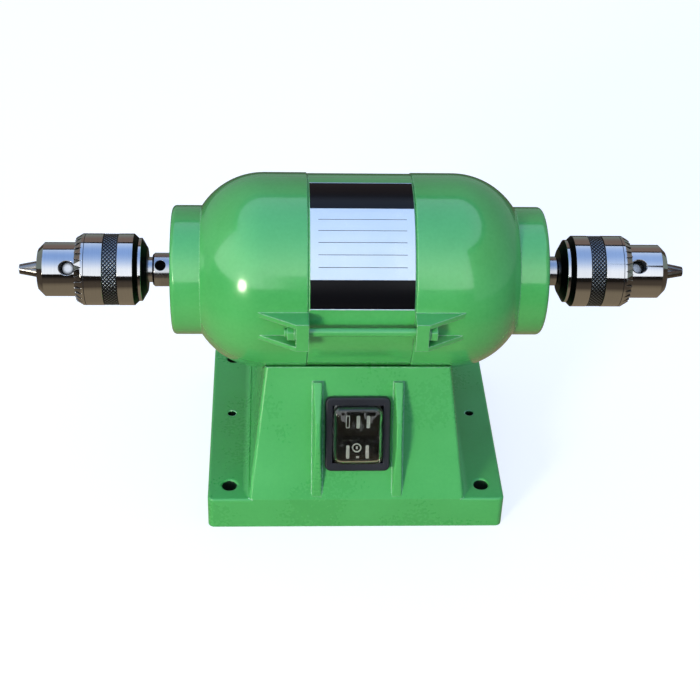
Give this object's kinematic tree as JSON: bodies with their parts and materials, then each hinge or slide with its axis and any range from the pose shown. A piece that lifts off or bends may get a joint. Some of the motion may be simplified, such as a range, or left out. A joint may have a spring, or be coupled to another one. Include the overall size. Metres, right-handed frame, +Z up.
{
  "type": "bench grinder",
  "caption": "Bench motor on a pedestal base with a rocker switch under a clear cap and a keyed drill chuck on each end of its shaft, for grinding, sanding and polishing tools.",
  "frame": {"origin": "on the bench in the middle of the four bench bolts, under the middle of the motor", "axes": "+X along the shaft to the right-hand chuck, +Y away from the switch side, +Z up"},
  "size_m": [0.3166, 0.124, 0.1548],
  "materials": {
    "green_enamel": "gloss enamel over cast aluminium",
    "steel_plate": "zinc-plated steel",
    "printed_foil": "printed aluminium foil plate, bare of text",
    "lamination_steel": "stacked electrical steel",
    "copper_winding": "enamelled copper wire",
    "bearing_steel": "ground bearing steel",
    "cast_aluminium": "cast aluminium",
    "shaft_steel": "turned steel",
    "chuck_steel": "polished chuck steel",
    "dark_jaw_steel": "hardened steel",
    "black_rubber": "matt rubber",
    "black_plastic": "moulded plastic",
    "rocker_plastic": "gloss moulded plastic with I and O marks",
    "clear_pvc": "clear soft plastic",
    "brass_tab": "bare brass",
    "capacitor_can": "white plastic can",
    "block_plastic": "natural nylon",
    "lead_insulation": "silicone insulation"
  },
  "bodies": {
    "frame": {"base_casting": "green_enamel", "bottom_plate": "steel_plate", "plate_screws": "steel_plate", "saddle_screws": "steel_plate", "centre_shell": "green_enamel", "left_end_bell": "green_enamel", "right_end_bell": "green_enamel", "rating_plate": "printed_foil", "tie_bolts": "green_enamel", "tie_nuts": "green_enamel", "tie_washers": "green_enamel", "stator_core": "lamination_steel", "stator_winding": "copper_winding", "preload_washers": "steel_plate", "left_bearing_outer": "bearing_steel", "right_bearing_outer": "bearing_steel", "left_shaft_seal": "black_rubber", "right_shaft_seal": "black_rubber", "switch_housing": "black_plastic", "switch_pin": "steel_plate", "switch_terminals": "brass_tab", "switch_cover": "clear_pvc", "capacitor": "capacitor_can", "capacitor_clamp": "steel_plate", "terminal_block": "block_plastic", "cord_gland": "black_plastic", "gland_nut": "black_plastic", "lead_grommet": "black_rubber", "internal_leads": "lead_insulation"},
    "rotor": {"shaft": "shaft_steel", "rotor_core": "lamination_steel", "rotor_cage": "cast_aluminium", "left_bearing_inner": "bearing_steel", "right_bearing_inner": "bearing_steel", "left_adapter": "shaft_steel", "right_adapter": "shaft_steel", "adapter_set_screws": "dark_jaw_steel", "left_chuck_body": "chuck_steel", "right_chuck_body": "chuck_steel"},
    "left_balls": {"left_bearing_balls": "bearing_steel", "left_bearing_cage": "brass_tab"},
    "left_sleeve": {"left_chuck_sleeve": "chuck_steel", "left_chuck_nut": "dark_jaw_steel"},
    "left_jaw_1": {"left_jaw_1": "dark_jaw_steel"},
    "left_jaw_2": {"left_jaw_2": "dark_jaw_steel"},
    "left_jaw_3": {"left_jaw_3": "dark_jaw_steel"},
    "right_balls": {"right_bearing_balls": "bearing_steel", "right_bearing_cage": "brass_tab"},
    "right_sleeve": {"right_chuck_sleeve": "chuck_steel", "right_chuck_nut": "dark_jaw_steel"},
    "right_jaw_1": {"right_jaw_1": "dark_jaw_steel"},
    "right_jaw_2": {"right_jaw_2": "dark_jaw_steel"},
    "right_jaw_3": {"right_jaw_3": "dark_jaw_steel"},
    "rocker": {"switch_rocker": "rocker_plastic"}
  },
  "joints": [
    {"name": "rotor_spin", "type": "hinge", "parent": "frame", "child": "rotor", "pos_m": [0, 0, 0.1084], "axis": [1, 0, 0], "continuous": true},
    {"name": "left_ball_orbit", "type": "hinge", "parent": "frame", "child": "left_balls", "pos_m": [0, 0, 0.1084], "axis": [1, 0, 0], "continuous": true},
    {"name": "left_chuck_turn", "type": "hinge", "parent": "rotor", "child": "left_sleeve", "pos_m": [-0.12, 0, 0.1084], "axis": [-1, 0, 0], "range_deg": [0, 4320]},
    {"name": "left_jaw_1_slide", "type": "slide", "parent": "rotor", "child": "left_jaw_1", "axis": [0.9781, 0.0217, 0.2068], "range_m": [0, 0.0192]},
    {"name": "left_jaw_2_slide", "type": "slide", "parent": "rotor", "child": "left_jaw_2", "axis": [0.9781, 0.1682, -0.1222], "range_m": [0, 0.0192]},
    {"name": "left_jaw_3_slide", "type": "slide", "parent": "rotor", "child": "left_jaw_3", "axis": [0.9781, -0.1899, -0.0846], "range_m": [0, 0.0192]},
    {"name": "right_ball_orbit", "type": "hinge", "parent": "frame", "child": "right_balls", "pos_m": [0, 0, 0.1084], "axis": [1, 0, 0], "continuous": true},
    {"name": "right_chuck_turn", "type": "hinge", "parent": "rotor", "child": "right_sleeve", "pos_m": [0.12, 0, 0.1084], "axis": [1, 0, 0], "range_deg": [0, 4320]},
    {"name": "right_jaw_1_slide", "type": "slide", "parent": "rotor", "child": "right_jaw_1", "axis": [-0.9781, -0.1999, -0.0573], "range_m": [0, 0.0192]},
    {"name": "right_jaw_2_slide", "type": "slide", "parent": "rotor", "child": "right_jaw_2", "axis": [-0.9781, 0.1496, -0.1444], "range_m": [0, 0.0192]},
    {"name": "right_jaw_3_slide", "type": "slide", "parent": "rotor", "child": "right_jaw_3", "axis": [-0.9781, 0.0503, 0.2017], "range_m": [0, 0.0192]},
    {"name": "switch_rocker_tilt", "type": "hinge", "parent": "frame", "child": "rocker", "pos_m": [0, -0.04519, 0.04652], "axis": [1, 0, 0], "range_deg": [-17.6, 0]}
  ],
  "couplings": [
    {"joint": "left_ball_orbit", "follows": "rotor_spin", "ratio": 0.36818},
    {"joint": "left_jaw_1_slide", "follows": "left_chuck_turn", "m_per_rad": 0.00025465},
    {"joint": "left_jaw_2_slide", "follows": "left_chuck_turn", "m_per_rad": 0.00025465},
    {"joint": "left_jaw_3_slide", "follows": "left_chuck_turn", "m_per_rad": 0.00025465},
    {"joint": "right_ball_orbit", "follows": "rotor_spin", "ratio": 0.36818},
    {"joint": "right_jaw_1_slide", "follows": "right_chuck_turn", "m_per_rad": 0.00025465},
    {"joint": "right_jaw_2_slide", "follows": "right_chuck_turn", "m_per_rad": 0.00025465},
    {"joint": "right_jaw_3_slide", "follows": "right_chuck_turn", "m_per_rad": 0.00025465}
  ]
}
